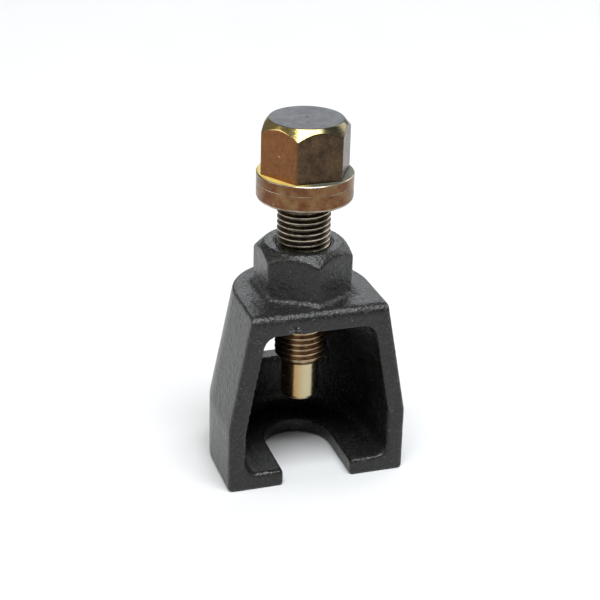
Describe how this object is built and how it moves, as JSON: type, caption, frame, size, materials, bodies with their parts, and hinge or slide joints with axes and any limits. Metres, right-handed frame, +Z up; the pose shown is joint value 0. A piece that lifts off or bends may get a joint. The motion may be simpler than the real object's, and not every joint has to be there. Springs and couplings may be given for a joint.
{
  "type": "ball joint separator",
  "caption": "Forged bell-shaped puller with a forked base, hexagon boss and a collared hexagon forcing screw that drives a pressure pin down at the fork.",
  "frame": {"origin": "where the forcing screw's axis meets the underside of the fork's base", "axes": "+Z up along the forcing screw towards its head, -Y out of the fork's mouth, +X to the right of it"},
  "size_m": [0.063, 0.0533, 0.1238],
  "materials": {
    "body_black": "black phosphated forging, fine grained, lightly oiled",
    "screw_zinc": "turned steel, yellow passivated zinc turning brown",
    "pin_zinc": "turned steel, pale yellow zinc"
  },
  "bodies": {
    "body": {"fork_body": "body_black"},
    "travel": {"pressure_pin": "pin_zinc"},
    "screw": {"forcing_screw": "screw_zinc"}
  },
  "joints": [
    {"name": "screw_travel", "type": "slide", "parent": "body", "child": "travel", "axis": [0, 0, 1], "range_m": [-0.015, 0.018]},
    {"name": "screw_turn", "type": "hinge", "parent": "travel", "child": "screw", "pos_m": [0, 0, 0.0386], "axis": [0, 0, 1], "range_deg": [-2700, 3240]}
  ],
  "couplings": [
    {"joint": "screw_travel", "follows": "screw_turn", "m_per_rad": 0.00031831}
  ]
}
